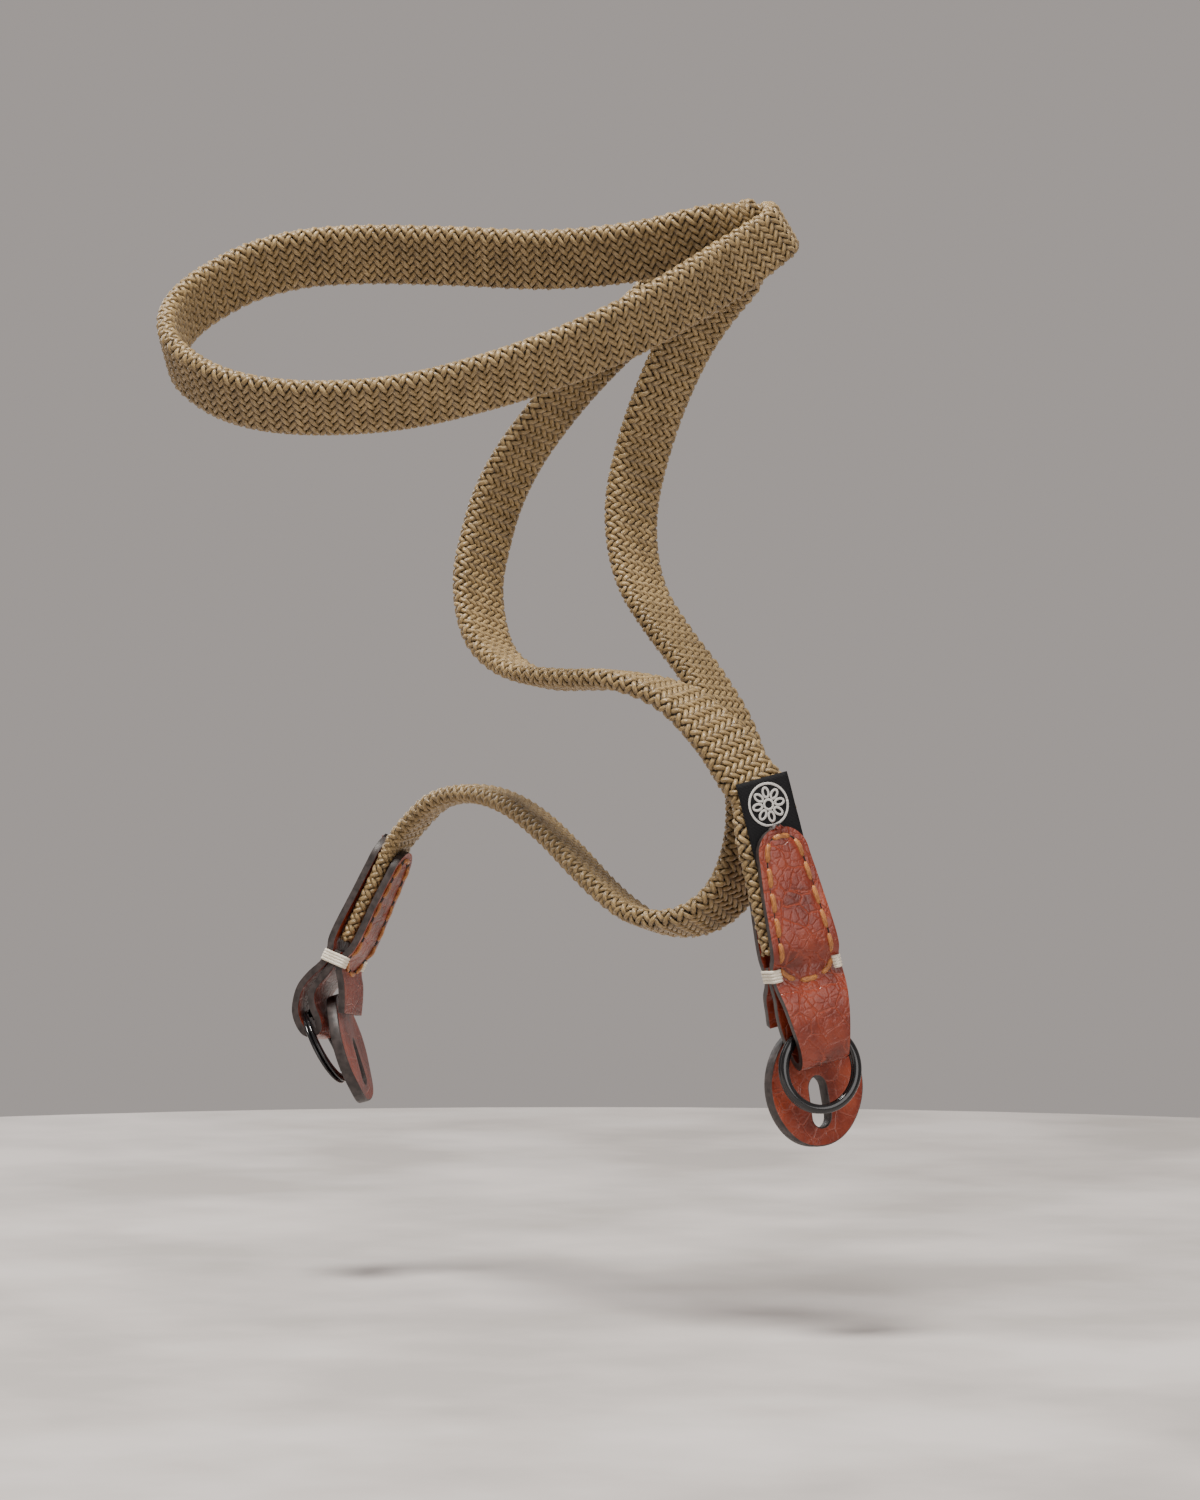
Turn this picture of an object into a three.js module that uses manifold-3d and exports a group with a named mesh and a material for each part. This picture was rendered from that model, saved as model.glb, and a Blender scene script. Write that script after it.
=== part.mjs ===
import * as THREE from 'three';
import { mergeVertices } from 'three/addons/utils/BufferGeometryUtils.js';
import Module from 'manifold-3d';

// A camera neck strap standing up in loops: a flat braided band that rises from one folded
// leather tab and comes down to the other. Millimetres, +Z up, with the origin midway between
// the two points that the strap hangs from. The route is laid out in a turned frame: right, back
// and up as its viewer sees it.

const wasm = await Module();
wasm.setup();

// Driving sizes
const clearance = 0.3;
const displayTurn = 45;

const bandWidth = 14;
const bandThickness = 4.2;
const bandSides = 12;
const stepLength = 4.2;
const sewnThickness = 0.75;
const freeSquare = 0.7;
const creaseWidth = 0.86;
const creaseThickness = 0.74;
const innerCreaseThickness = 0.6;

const sideReach = 100;
const depthReach = 50;
const rise = 180;

const hangSpan = 142.6;
const leatherWall = 1.5;
const layerGap = 0.45;
const tipHeight = 49.6;
const tipWidth = 11.4;
const backingTipLower = 1.2;
const loopWidth = 11;
const bindingHeight = 20.3;
const bindingWidth = 15.4;
const bindingTall = 2.6;
const bindingReach = 1.6;
const threadThickness = 0.6;
const bandEndHeight = 24.6;
const straightHeight = 49;
const innerLegTop = 22.2;
const flapDrop = 10.4;
const loopDrop = 20;
const pinchRise = 2.4;

const labelWidth = 11.8;
const labelThickness = 0.4;
const labelBottom = 27;
const labelTop = 60;
const labelAside = 0.2;
const labelLean = -1.5;

const ringDiameter = 18.5;
const ringWire = 2.1;
const ringSegments = 28;
const ringWireSides = 10;

const discDiameter = 25;
const discWall = 2.4;
const slotWidth = 5;
const slotLength = 10.5;
const slotBelowCentre = 3.4;

// Places of the end fittings. Tab and disc: right, back and up from the hang point. Ring: in the
// tab's own frame. lean tips a part's top to the right, turn swings it about its own upright axis,
// swing tips the ring's top outward. Loop and flap: rows of inward and up as shares of loopDrop,
// the loop's from the front leg below the binding round to the inner leg.
const nearFitting = {
  hangSide: 1,
  bandAside: -1.1,
  labelled: true,
  tab: { offset: [0, -1.1, 7.7], lean: -13, turn: 24 },
  ring: { place: [-0.9, 0.3, -0.4], swing: 0 },
  disc: { offset: [-1.8, 7, 3], lean: -8.6, turn: 39.5 },
  loop: [
    [-0.15, 0.7], [-0.145, 0.42], [-0.105, 0.2], [-0.04, 0.07], [0.03, 0.035],
    [0.1, 0.08], [0.14, 0.2], [0.15, 0.38], [0.09, 0.6], [0.01, 0.77],
  ],
  flap: [[0.23, 0.78], [0.32, 0.6]],
  flapEnd: 0.385,
};
const farFitting = {
  hangSide: -1,
  bandAside: 0,
  labelled: false,
  tab: { offset: [-10.85, -1.9, 5.3], lean: 25, turn: -105 },
  ring: { place: [0, 4.7, 1.2], swing: 52 },
  disc: { offset: [-1.1, -0.9, 3.8], lean: -17, turn: -96 },
  loop: [
    [-0.19, 0.71], [-0.235, 0.55], [-0.225, 0.4], [-0.18, 0.26], [-0.08, 0.15],
    [0.02, 0.1], [0.1, 0.12], [0.15, 0.2], [0.1, 0.29], [0, 0.385],
    [-0.075, 0.49], [-0.09, 0.6], [-0.04, 0.76],
  ],
  flap: [[0.19, 0.78], [0.26, 0.64]],
  flapEnd: 0.325,
};

// The band's route between the tabs. Columns: right, back and up as shares of sideReach,
// depthReach and rise, then the direction from one edge of the band to the other.
const rising = [
  [0.379, -1.01, 0.344, 0.88, 0.42, 0.22],
  [0.343, -0.99, 0.373, 0.77, 0.54, 0.33],
  [0.292, -0.955, 0.413, 0.7, 0.65, 0.28],
  [0.203, -0.88, 0.458, 0.62, 0.77, 0.12],
  [0.1, -0.75, 0.478, 0.65, 0.76, -0.04],
  [0.006, -0.57, 0.48, 0.7, 0.7, -0.06],
  [-0.081, -0.37, 0.483, 0.73, 0.66, -0.15],
  [-0.14, -0.21, 0.495, 0.73, 0.64, -0.22],
  [-0.185, -0.08, 0.52, 0.72, 0.64, -0.25],
  [-0.208, 0.02, 0.557, 0.72, 0.64, -0.25],
  [-0.214, 0.09, 0.602, 0.7, 0.66, -0.26],
  [-0.201, 0.13, 0.644, 0.69, 0.66, -0.27],
  [-0.174, 0.15, 0.696, 0.68, 0.68, -0.26],
  [-0.13, 0.13, 0.745, 0.65, 0.71, -0.24],
  [-0.062, 0.07, 0.797, 0.61, 0.75, -0.24],
  [0.02, 0.01, 0.85, 0.59, 0.75, -0.3],
  [0.12, -0.05, 0.905, 0.57, 0.7, -0.42],
  [0.23, -0.11, 0.958, 0.55, 0.54, -0.63],
  [0.32, -0.18, 0.988, 0.52, 0.4, -0.75],
];
const upperLoop = [
  [0.31, -0.53, 0.954, 0.38, 0.44, -0.81],
  [0.232, -0.64, 0.925, 0.29, 0.51, -0.81],
  [0.116, -0.75, 0.886, 0.23, 0.54, -0.81],
  [-0.022, -0.85, 0.85, 0.16, 0.58, -0.8],
  [-0.181, -0.93, 0.818, 0.09, 0.65, -0.76],
  [-0.354, -0.985, 0.794, 0.06, 0.69, -0.72],
  [-0.515, -0.985, 0.787, 0.07, 0.7, -0.71],
  [-0.637, -0.94, 0.792, 0.09, 0.68, -0.73],
  [-0.723, -0.86, 0.805, 0.11, 0.66, -0.74],
  [-0.785, -0.76, 0.824, 0.14, 0.64, -0.75],
  [-0.83, -0.65, 0.847, 0.16, 0.61, -0.77],
  [-0.847, -0.53, 0.87, 0.17, 0.59, -0.79],
  [-0.842, -0.4, 0.895, 0.16, 0.57, -0.81],
  [-0.812, -0.28, 0.92, 0.15, 0.57, -0.81],
  [-0.76, -0.19, 0.943, 0.15, 0.58, -0.8],
  [-0.69, -0.13, 0.964, 0.14, 0.57, -0.81],
  [-0.588, -0.11, 0.979, 0.11, 0.55, -0.83],
  [-0.46, -0.12, 0.984, 0.08, 0.52, -0.85],
  [-0.271, -0.17, 0.981, 0.05, 0.51, -0.86],
  [-0.057, -0.24, 0.975, 0.09, 0.51, -0.86],
  [0.13, -0.35, 0.982, 0.17, 0.5, -0.85],
  [0.27, -0.43, 0.997, 0.3, 0.42, -0.86],
];
const falling = [
  [0.335, -0.28, 0.965, 0.58, 0.28, -0.76],
  [0.29, -0.18, 0.932, 0.71, 0.4, -0.58],
  [0.236, -0.13, 0.885, 0.77, 0.54, -0.33],
  [0.181, -0.09, 0.82, 0.79, 0.58, -0.19],
  [0.138, -0.01, 0.75, 0.79, 0.58, -0.18],
  [0.116, -0.02, 0.689, 0.77, 0.61, -0.18],
  [0.118, -0.08, 0.635, 0.74, 0.65, -0.16],
  [0.14, -0.17, 0.587, 0.72, 0.68, -0.14],
  [0.192, -0.31, 0.538, 0.7, 0.7, -0.12],
  [0.262, -0.48, 0.484, 0.68, 0.72, -0.1],
  [0.32, -0.61, 0.427, 0.68, 0.73, -0.1],
  [0.353, -0.69, 0.365, 0.69, 0.71, -0.14],
  [0.358, -0.74, 0.308, 0.68, 0.69, -0.25],
  [0.338, -0.77, 0.26, 0.62, 0.7, -0.36],
  [0.302, -0.775, 0.227, 0.52, 0.77, -0.37],
  [0.25, -0.755, 0.206, 0.48, 0.82, -0.29],
  [0.192, -0.7, 0.199, 0.54, 0.81, -0.22],
  [0.136, -0.61, 0.205, 0.61, 0.75, -0.25],
  [0.084, -0.49, 0.223, 0.65, 0.69, -0.32],
  [0.034, -0.33, 0.247, 0.68, 0.62, -0.38],
  [-0.035, -0.07, 0.285, 0.71, 0.59, -0.38],
  [-0.11, 0.2, 0.319, 0.75, 0.58, -0.3],
  [-0.18, 0.43, 0.337, 0.78, 0.59, -0.16],
  [-0.24, 0.61, 0.341, 0.77, 0.63, 0],
  [-0.29, 0.74, 0.336, 0.7, 0.69, 0.15],
  [-0.341, 0.872, 0.319, 0.55, 0.78, 0.28],
];
// The crease at the top right corner: its centre as shares, the direction of its edge line,
// and the direction in which the folded layers point out of it
const crease = {
  centre: [0.387, -0.353, 0.996],
  edge: [0.5, 0.3, -0.81],
  outward: [0.788, 0.231, 0.572],
  outer: { shift: 0, thick: creaseThickness, entry: 25 },
  inner: { shift: 3, thick: innerCreaseThickness, entry: 0 },
  steps: 8,
};

const vector = (x, y, z) => new THREE.Vector3(x, y, z);
const degrees = (angle) => THREE.MathUtils.degToRad(angle);

function material(color, roughness, metalness = 0) {
  return new THREE.MeshStandardMaterial({ color, roughness, metalness });
}
const braidKhaki = material(0x8f7448, 0.6);
const leatherRed = material(0x8a3420, 0.55);
const labelBlack = material(0x141414, 0.85);
const ringBlack = material(0x0b0b0c, 0.2, 0.6);
const threadCream = material(0xded3bd, 0.7);

// Solids: three.js geometry in, three.js geometry out, with cuts and joins between
function solid(geometry) {
  const bare = geometry.clone();
  bare.deleteAttribute('normal');
  bare.deleteAttribute('uv');
  const merged = mergeVertices(bare, 1e-4);
  return new wasm.Manifold(new wasm.Mesh({
    numProp: 3,
    vertProperties: new Float32Array(merged.attributes.position.array),
    triVerts: new Uint32Array(merged.index.array),
  }));
}
function geometryOf(manifold) {
  const mesh = manifold.getMesh();
  const geometry = new THREE.BufferGeometry();
  geometry.setAttribute('position', new THREE.BufferAttribute(mesh.vertProperties, 3));
  geometry.setIndex(new THREE.BufferAttribute(mesh.triVerts, 1));
  geometry.computeVertexNormals();
  return geometry;
}
function named(name, geometry, look) {
  const mesh = new THREE.Mesh(geometry, look);
  mesh.name = name;
  return mesh;
}

// An outline drawn in the right and up directions, as thick as depth from front to back
function plate(shape, depth, curveSegments = 12) {
  const geometry = new THREE.ExtrudeGeometry(shape, { depth, bevelEnabled: false, curveSegments });
  geometry.translate(0, 0, -depth / 2);
  geometry.applyMatrix4(new THREE.Matrix4().makeBasis(vector(1, 0, 0), vector(0, 0, 1), vector(0, -1, 0)));
  return geometry;
}
// A side profile drawn in the inward and up directions, as wide as width from left to right
function profileBar(shape, width) {
  const geometry = new THREE.ExtrudeGeometry(shape, { depth: width, bevelEnabled: false });
  geometry.translate(0, 0, -width / 2);
  geometry.applyMatrix4(new THREE.Matrix4().makeBasis(vector(0, 1, 0), vector(0, 0, 1), vector(1, 0, 0)));
  return geometry;
}

// Tabs: each in its own frame, x to the right as seen from outside, y inward to the backing,
// z up along the strip from the foot of its loop
const sewnBand = bandThickness * sewnThickness;
const backLayer = sewnBand / 2 + clearance + leatherWall / 2;
const frontLayer = ({ labelled }) => -(backLayer + (labelled ? labelThickness + clearance : 0));
const boundStep = leatherWall + layerGap;
const boundHalf = 1.5 * leatherWall + layerGap;

function stripShape(points, wall) {
  const middle = new THREE.CatmullRomCurve3(points.map(([y, z]) => vector(y, z, 0)), false, 'centripetal');
  const count = points.length * 3;
  const front = [];
  const back = [];
  for (let i = 0; i <= count; i += 1) {
    const place = middle.getPoint(i / count);
    const along = middle.getTangent(i / count);
    const across = vector(-along.y, along.x, 0).setLength(wall / 2);
    front.push(new THREE.Vector2(place.x + across.x, place.y + across.y));
    back.push(new THREE.Vector2(place.x - across.x, place.y - across.y));
  }
  return new THREE.Shape([...front, ...back.reverse()]);
}
function stripOutline(top) {
  const tipRadius = tipWidth / 2;
  const rows = [
    [loopWidth / 2, -loopDrop / 4],
    [loopWidth / 2, loopDrop / 8],
    [(loopWidth + 2 * bindingWidth) / 6, loopDrop * 0.6],
    [bindingWidth / 2, bindingHeight],
    [(tipWidth + bindingWidth) / 4, (bindingHeight + top) / 2],
    [tipRadius, top - tipRadius],
  ];
  const side = new THREE.SplineCurve(rows.map(([x, z]) => new THREE.Vector2(x, z))).getPoints(15);
  const shape = new THREE.Shape(side);
  shape.absarc(0, top - tipRadius, tipRadius, 0, Math.PI, false);
  side.reverse().forEach((point) => shape.lineTo(-point.x, point.y));
  return shape;
}
// The layers lie bound together at the binding and open above it round the band's end
function legRows(layer, boundLayer, top) {
  const open = bindingHeight + bindingTall / 2 + pinchRise;
  const seat = bindingTall / 2 + clearance;
  return [
    [layer, top + 1], [layer, (top + open) / 2], [layer, open],
    [boundLayer, bindingHeight + seat], [boundLayer, bindingHeight - seat],
  ];
}
const inLoop = ([inward, up]) => [inward * loopDrop, up * loopDrop + bindingHeight - loopDrop];
function leather(rows, top) {
  const bar = profileBar(stripShape(rows, leatherWall), 2 * bindingWidth);
  return geometryOf(solid(bar).intersect(solid(plate(stripOutline(top), 4 * loopDrop))));
}
function loopStrip(fitting) {
  const seat = bindingTall / 2 + clearance;
  return leather([
    ...legRows(frontLayer(fitting), -boundStep, tipHeight),
    ...fitting.loop.map(inLoop),
    [0, bindingHeight - seat],
    [0, innerLegTop],
  ], tipHeight);
}
function backing(fitting) {
  const top = tipHeight - backingTipLower;
  return leather([
    ...legRows(backLayer, boundStep, top),
    ...fitting.flap.map(inLoop),
    [fitting.flapEnd * loopDrop, bindingHeight - flapDrop],
  ], top);
}
function binding(side) {
  const reach = bindingWidth / 2 - bindingReach;
  const innerX = bindingWidth / 2 + clearance;
  const outerX = innerX + threadThickness;
  const innerY = boundHalf + clearance;
  const outerY = innerY + threadThickness;
  const shape = new THREE.Shape([
    [reach, -outerY], [outerX - threadThickness, -outerY], [outerX, -innerY], [outerX, innerY],
    [outerX - threadThickness, outerY], [reach, outerY], [reach, innerY], [innerX, innerY],
    [innerX, -innerY], [reach, -innerY],
  ].map(([x, y]) => new THREE.Vector2(x, y)));
  const geometry = new THREE.ExtrudeGeometry(shape, { depth: bindingTall, bevelEnabled: false });
  geometry.translate(0, 0, bindingHeight - bindingTall / 2);
  if (side < 0) {
    geometry.rotateZ(Math.PI);
  }
  return geometry;
}
function ringGeometry() {
  const profile = [];
  for (let i = 0; i <= ringWireSides; i += 1) {
    const angle = (2 * Math.PI * (i % ringWireSides)) / ringWireSides;
    const radius = (ringDiameter - ringWire) / 2 + (ringWire / 2) * Math.cos(angle);
    profile.push(new THREE.Vector2(radius, (ringWire / 2) * Math.sin(angle)));
  }
  return new THREE.LatheGeometry(profile, ringSegments);
}
function discGeometry() {
  const shape = new THREE.Shape().absarc(0, 0, discDiameter / 2, 0, 2 * Math.PI);
  const slot = new THREE.Path();
  const bend = slotWidth / 2;
  const half = slotLength / 2 - bend;
  slot.absarc(0, -slotBelowCentre + half, bend, 0, Math.PI);
  slot.absarc(0, -slotBelowCentre - half, bend, Math.PI, 2 * Math.PI);
  shape.holes.push(slot);
  return plate(shape, discWall, 20);
}
function labelGeometry() {
  const tall = labelTop - labelBottom;
  const geometry = new THREE.BoxGeometry(labelWidth, labelThickness, tall);
  geometry.translate(labelAside, 0, 0);
  geometry.rotateY(degrees(labelLean));
  geometry.translate(0, -(sewnBand + labelThickness) / 2 - clearance, labelBottom + tall / 2);
  return geometry;
}
function hangPoint(side) {
  return vector(hangSpan / 2 * side, 0, 0).applyAxisAngle(vector(0, 0, 1), -degrees(displayTurn));
}
function placed(fitting, part) {
  const { offset, lean, turn } = fitting[part];
  const group = new THREE.Group();
  group.position.copy(hangPoint(fitting.hangSide)).add(vector(...offset));
  group.rotation.set(0, degrees(lean), degrees(turn), 'YXZ');
  return group;
}

// Band: rows of place, edge direction, width share and thickness share
function tabRows(fitting, edgeSign) {
  const tab = placed(fitting, 'tab');
  tab.updateMatrixWorld();
  const edge = vector(edgeSign, 0, 0).transformDirection(tab.matrixWorld);
  return [0, 0.3, 0.7, 1].map((share) => {
    const height = THREE.MathUtils.lerp(bandEndHeight, straightHeight, share);
    const place = vector(fitting.bandAside, 0, height).applyMatrix4(tab.matrixWorld);
    return { place, edge, wide: 1, thick: sewnThickness, square: 1 };
  });
}
function tableRows(table) {
  return table.map(([right, back, up, edgeRight, edgeBack, edgeUp]) => ({
    place: vector(right * sideReach, back * depthReach, up * rise),
    edge: vector(edgeRight, edgeBack, edgeUp).normalize(), wide: 1, thick: 1, square: freeSquare,
  }));
}
// The turn round the crease, at so many layers from its middle, starting behind or in front
function creaseRows(layers, startSide, { shift, thick, entry }) {
  const [right, back, up] = crease.centre;
  const edge = vector(...crease.edge).normalize();
  const centre = vector(right * sideReach, back * depthReach, up * rise).addScaledVector(edge, -shift);
  const outward = vector(...crease.outward).normalize();
  const behind = outward.clone().cross(edge).normalize();
  const radius = layers * (bandThickness * creaseThickness + clearance);
  const rows = [];
  for (let i = 0; i <= crease.steps; i += 1) {
    const angle = degrees(entry + ((180 - entry) * i) / crease.steps);
    rows.push({
      place: centre.clone().addScaledVector(behind, startSide * radius * Math.cos(angle))
        .addScaledVector(outward, radius * Math.sin(angle)),
      edge, wide: creaseWidth, thick, square: 0,
    });
  }
  return rows;
}
const outerLayers = 1.5;
const innerLayers = 0.5;
const route = [
  ...tabRows(nearFitting, 1),
  ...tableRows(rising),
  ...creaseRows(outerLayers, 1, crease.outer),
  ...tableRows(upperLoop),
  ...creaseRows(innerLayers, -1, crease.inner),
  ...tableRows(falling),
  ...tabRows(farFitting, -1).reverse(),
];

// A smooth path through the rows whose section is set by the edge direction and the two shares
class BandPath extends THREE.Curve {
  constructor(rows) {
    super();
    this.places = new THREE.CatmullRomCurve3(rows.map((row) => row.place), false, 'centripetal');
    this.edges = new THREE.CatmullRomCurve3(rows.map((row) => row.edge), false, 'catmullrom', 0.5);
    this.shares = rows.map((row) => vector(row.wide, row.thick, row.square));
    this.last = rows.length - 1;
    this.stations = [0];
    for (let row = 0; row < this.last; row += 1) {
      const span = rows[row].place.distanceTo(rows[row + 1].place);
      const cuts = Math.max(1, Math.round(span / stepLength));
      for (let cut = 1; cut <= cuts; cut += 1) {
        this.stations.push(row + cut / cuts);
      }
    }
  }
  frame(station) {
    const at = station / this.last;
    const along = this.places.getTangent(at);
    const row = Math.min(Math.floor(station), this.last - 1);
    const shares = this.shares[row].clone().lerp(this.shares[row + 1], station - row);
    const edge = this.edges.getPoint(at);
    edge.addScaledVector(along, -edge.dot(along) * shares.z).normalize();
    const face = along.clone().cross(edge).normalize();
    return { along, edge, face, shares };
  }
  getPoint(t) {
    return this.places.getPoint(t);
  }
  getSpacedPoints() {
    return this.stations.map((station) => this.getPoint(station / this.last));
  }
  computeFrenetFrames() {
    const frames = this.stations.map((station) => this.frame(station));
    return {
      tangents: frames.map(({ along }) => along),
      normals: frames.map(({ edge, shares }) => edge.multiplyScalar(shares.x)),
      binormals: frames.map(({ face, shares }) => face.multiplyScalar(shares.y)),
    };
  }
}
function sweep(shape, path) {
  return new THREE.ExtrudeGeometry(shape, { steps: path.stations.length - 1, extrudePath: path });
}
function bandSection() {
  const flat = (bandWidth - bandThickness) / 2;
  const points = [];
  for (let i = 0; i < bandSides; i += 1) {
    const angle = (2 * Math.PI * (i + 0.5)) / bandSides;
    const side = Math.sign(Math.cos(angle)) * flat;
    points.push(new THREE.Vector2(
      side + (bandThickness / 2) * Math.cos(angle),
      (bandThickness / 2) * Math.sin(angle) / Math.cos(Math.PI / bandSides),
    ));
  }
  return new THREE.Shape(points);
}

const strap = new THREE.Group();
strap.rotation.z = degrees(displayTurn);

strap.add(named('band', sweep(bandSection(), new BandPath(route)), braidKhaki));

for (const [end, fitting] of [['near', nearFitting], ['far', farFitting]]) {
  const tab = placed(fitting, 'tab');
  tab.add(named(`${end}_tab`, loopStrip(fitting), leatherRed));
  tab.add(named(`${end}_backing`, backing(fitting), leatherRed));
  tab.add(named(`${end}_binding_left`, binding(-1), threadCream));
  tab.add(named(`${end}_binding_right`, binding(1), threadCream));
  const ring = named(`${end}_ring`, ringGeometry(), ringBlack);
  ring.position.set(...fitting.ring.place);
  ring.rotation.x = degrees(fitting.ring.swing);
  tab.add(ring);
  const disc = placed(fitting, 'disc');
  disc.add(named(`${end}_disc`, discGeometry(), leatherRed));
  if (fitting.labelled) {
    tab.add(named(`${end}_label`, labelGeometry(), labelBlack));
  }
  strap.add(tab, disc);
}

export default strap;
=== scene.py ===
import math

import bpy
import bmesh
import numpy as np
from mathutils import Matrix, Vector


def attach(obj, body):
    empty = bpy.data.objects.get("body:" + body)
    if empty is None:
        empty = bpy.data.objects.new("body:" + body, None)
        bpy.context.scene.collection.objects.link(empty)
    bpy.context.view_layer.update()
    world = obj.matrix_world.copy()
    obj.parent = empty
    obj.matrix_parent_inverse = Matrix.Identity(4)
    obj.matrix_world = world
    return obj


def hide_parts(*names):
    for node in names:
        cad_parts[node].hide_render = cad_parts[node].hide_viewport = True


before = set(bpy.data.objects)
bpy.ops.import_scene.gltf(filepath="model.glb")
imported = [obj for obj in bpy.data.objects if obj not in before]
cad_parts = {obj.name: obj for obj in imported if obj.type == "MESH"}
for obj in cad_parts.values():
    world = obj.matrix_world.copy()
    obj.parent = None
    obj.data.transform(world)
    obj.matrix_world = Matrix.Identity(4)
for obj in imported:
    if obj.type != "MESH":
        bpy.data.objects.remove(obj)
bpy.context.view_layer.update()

# Sizes in millimetres, as in the strap's own drawing
metre = 0.001
clearance = 0.3
band_width, band_thickness = 14, 4.2
sewn_thickness, free_square = 0.75, 0.7
crease_width, crease_thickness, inner_crease_thickness = 0.86, 0.74, 0.6
side_reach, depth_reach, rise = 100, 50, 180
hang_span, display_turn = 142.6, 45
leather_wall, layer_gap = 1.5, 0.45
tip_height, tip_width, backing_tip_lower = 49.6, 11.4, 1.2
loop_width, loop_drop = 11, 20
binding_height, binding_width, binding_tall, binding_reach = 20.3, 15.4, 2.6, 1.6
band_end, straight_height = 24.6, 49
inner_leg_top, flap_drop, pinch_rise = 22.2, 10.4, 2.4
label_width, label_thickness, label_bottom, label_top = 11.8, 0.4, 27, 60
label_aside, label_lean = 0.2, -1.5
ring_diameter, ring_wire = 18.5, 2.1
disc_diameter, disc_wall = 25, 2.4
slot_width, slot_length, slot_below_centre = 5, 10.5, 3.4

# Each end's tab, ring and disc: place, lean and turn, and the leather's side profile as shares of its drop
near = {
    "side": 1, "band_aside": -1.1, "labelled": True,
    "tab": ((0, -1.1, 7.7), -13, 24), "ring": ((-0.9, 0.3, -0.4), 0),
    "disc": ((-1.8, 7, 3), -8.6, 39.5),
    "loop": [(-0.15, 0.7), (-0.145, 0.42), (-0.105, 0.2), (-0.04, 0.07), (0.03, 0.035),
             (0.1, 0.08), (0.14, 0.2), (0.15, 0.38), (0.09, 0.6), (0.01, 0.77)],
    "flap": [(0.23, 0.78), (0.32, 0.6)], "flap_end": 0.385,
}
far = {
    "side": -1, "band_aside": 0, "labelled": False,
    "tab": ((-10.85, -1.9, 5.3), 25, -105), "ring": ((0, 4.7, 1.2), 52),
    "disc": ((-1.1, -0.9, 3.8), -17, -96),
    "loop": [(-0.19, 0.71), (-0.235, 0.55), (-0.225, 0.4), (-0.18, 0.26), (-0.08, 0.15), (0.02, 0.1),
             (0.1, 0.12), (0.15, 0.2), (0.1, 0.29), (0, 0.385), (-0.075, 0.49), (-0.09, 0.6), (-0.04, 0.76)],
    "flap": [(0.19, 0.78), (0.26, 0.64)], "flap_end": 0.325,
}

# The band's route: right, back and up as shares of the three reaches, then its edge direction
rising = [
    (0.379, -1.01, 0.344, 0.88, 0.42, 0.22),
    (0.343, -0.99, 0.373, 0.77, 0.54, 0.33),
    (0.292, -0.955, 0.413, 0.7, 0.65, 0.28),
    (0.203, -0.88, 0.458, 0.62, 0.77, 0.12),
    (0.1, -0.75, 0.478, 0.65, 0.76, -0.04),
    (0.006, -0.57, 0.48, 0.7, 0.7, -0.06),
    (-0.081, -0.37, 0.483, 0.73, 0.66, -0.15),
    (-0.14, -0.21, 0.495, 0.73, 0.64, -0.22),
    (-0.185, -0.08, 0.52, 0.72, 0.64, -0.25),
    (-0.208, 0.02, 0.557, 0.72, 0.64, -0.25),
    (-0.214, 0.09, 0.602, 0.7, 0.66, -0.26),
    (-0.201, 0.13, 0.644, 0.69, 0.66, -0.27),
    (-0.174, 0.15, 0.696, 0.68, 0.68, -0.26),
    (-0.13, 0.13, 0.745, 0.65, 0.71, -0.24),
    (-0.062, 0.07, 0.797, 0.61, 0.75, -0.24),
    (0.02, 0.01, 0.85, 0.59, 0.75, -0.3),
    (0.12, -0.05, 0.905, 0.57, 0.7, -0.42),
    (0.23, -0.11, 0.958, 0.55, 0.54, -0.63),
    (0.32, -0.18, 0.988, 0.52, 0.4, -0.75),
]
upper_loop = [
    (0.31, -0.53, 0.954, 0.38, 0.44, -0.81),
    (0.232, -0.64, 0.925, 0.29, 0.51, -0.81),
    (0.116, -0.75, 0.886, 0.23, 0.54, -0.81),
    (-0.022, -0.85, 0.85, 0.16, 0.58, -0.8),
    (-0.181, -0.93, 0.818, 0.09, 0.65, -0.76),
    (-0.354, -0.985, 0.794, 0.06, 0.69, -0.72),
    (-0.515, -0.985, 0.787, 0.07, 0.7, -0.71),
    (-0.637, -0.94, 0.792, 0.09, 0.68, -0.73),
    (-0.723, -0.86, 0.805, 0.11, 0.66, -0.74),
    (-0.785, -0.76, 0.824, 0.14, 0.64, -0.75),
    (-0.83, -0.65, 0.847, 0.16, 0.61, -0.77),
    (-0.847, -0.53, 0.87, 0.17, 0.59, -0.79),
    (-0.842, -0.4, 0.895, 0.16, 0.57, -0.81),
    (-0.812, -0.28, 0.92, 0.15, 0.57, -0.81),
    (-0.76, -0.19, 0.943, 0.15, 0.58, -0.8),
    (-0.69, -0.13, 0.964, 0.14, 0.57, -0.81),
    (-0.588, -0.11, 0.979, 0.11, 0.55, -0.83),
    (-0.46, -0.12, 0.984, 0.08, 0.52, -0.85),
    (-0.271, -0.17, 0.981, 0.05, 0.51, -0.86),
    (-0.057, -0.24, 0.975, 0.09, 0.51, -0.86),
    (0.13, -0.35, 0.982, 0.17, 0.5, -0.85),
    (0.27, -0.43, 0.997, 0.3, 0.42, -0.86),
]
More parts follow.
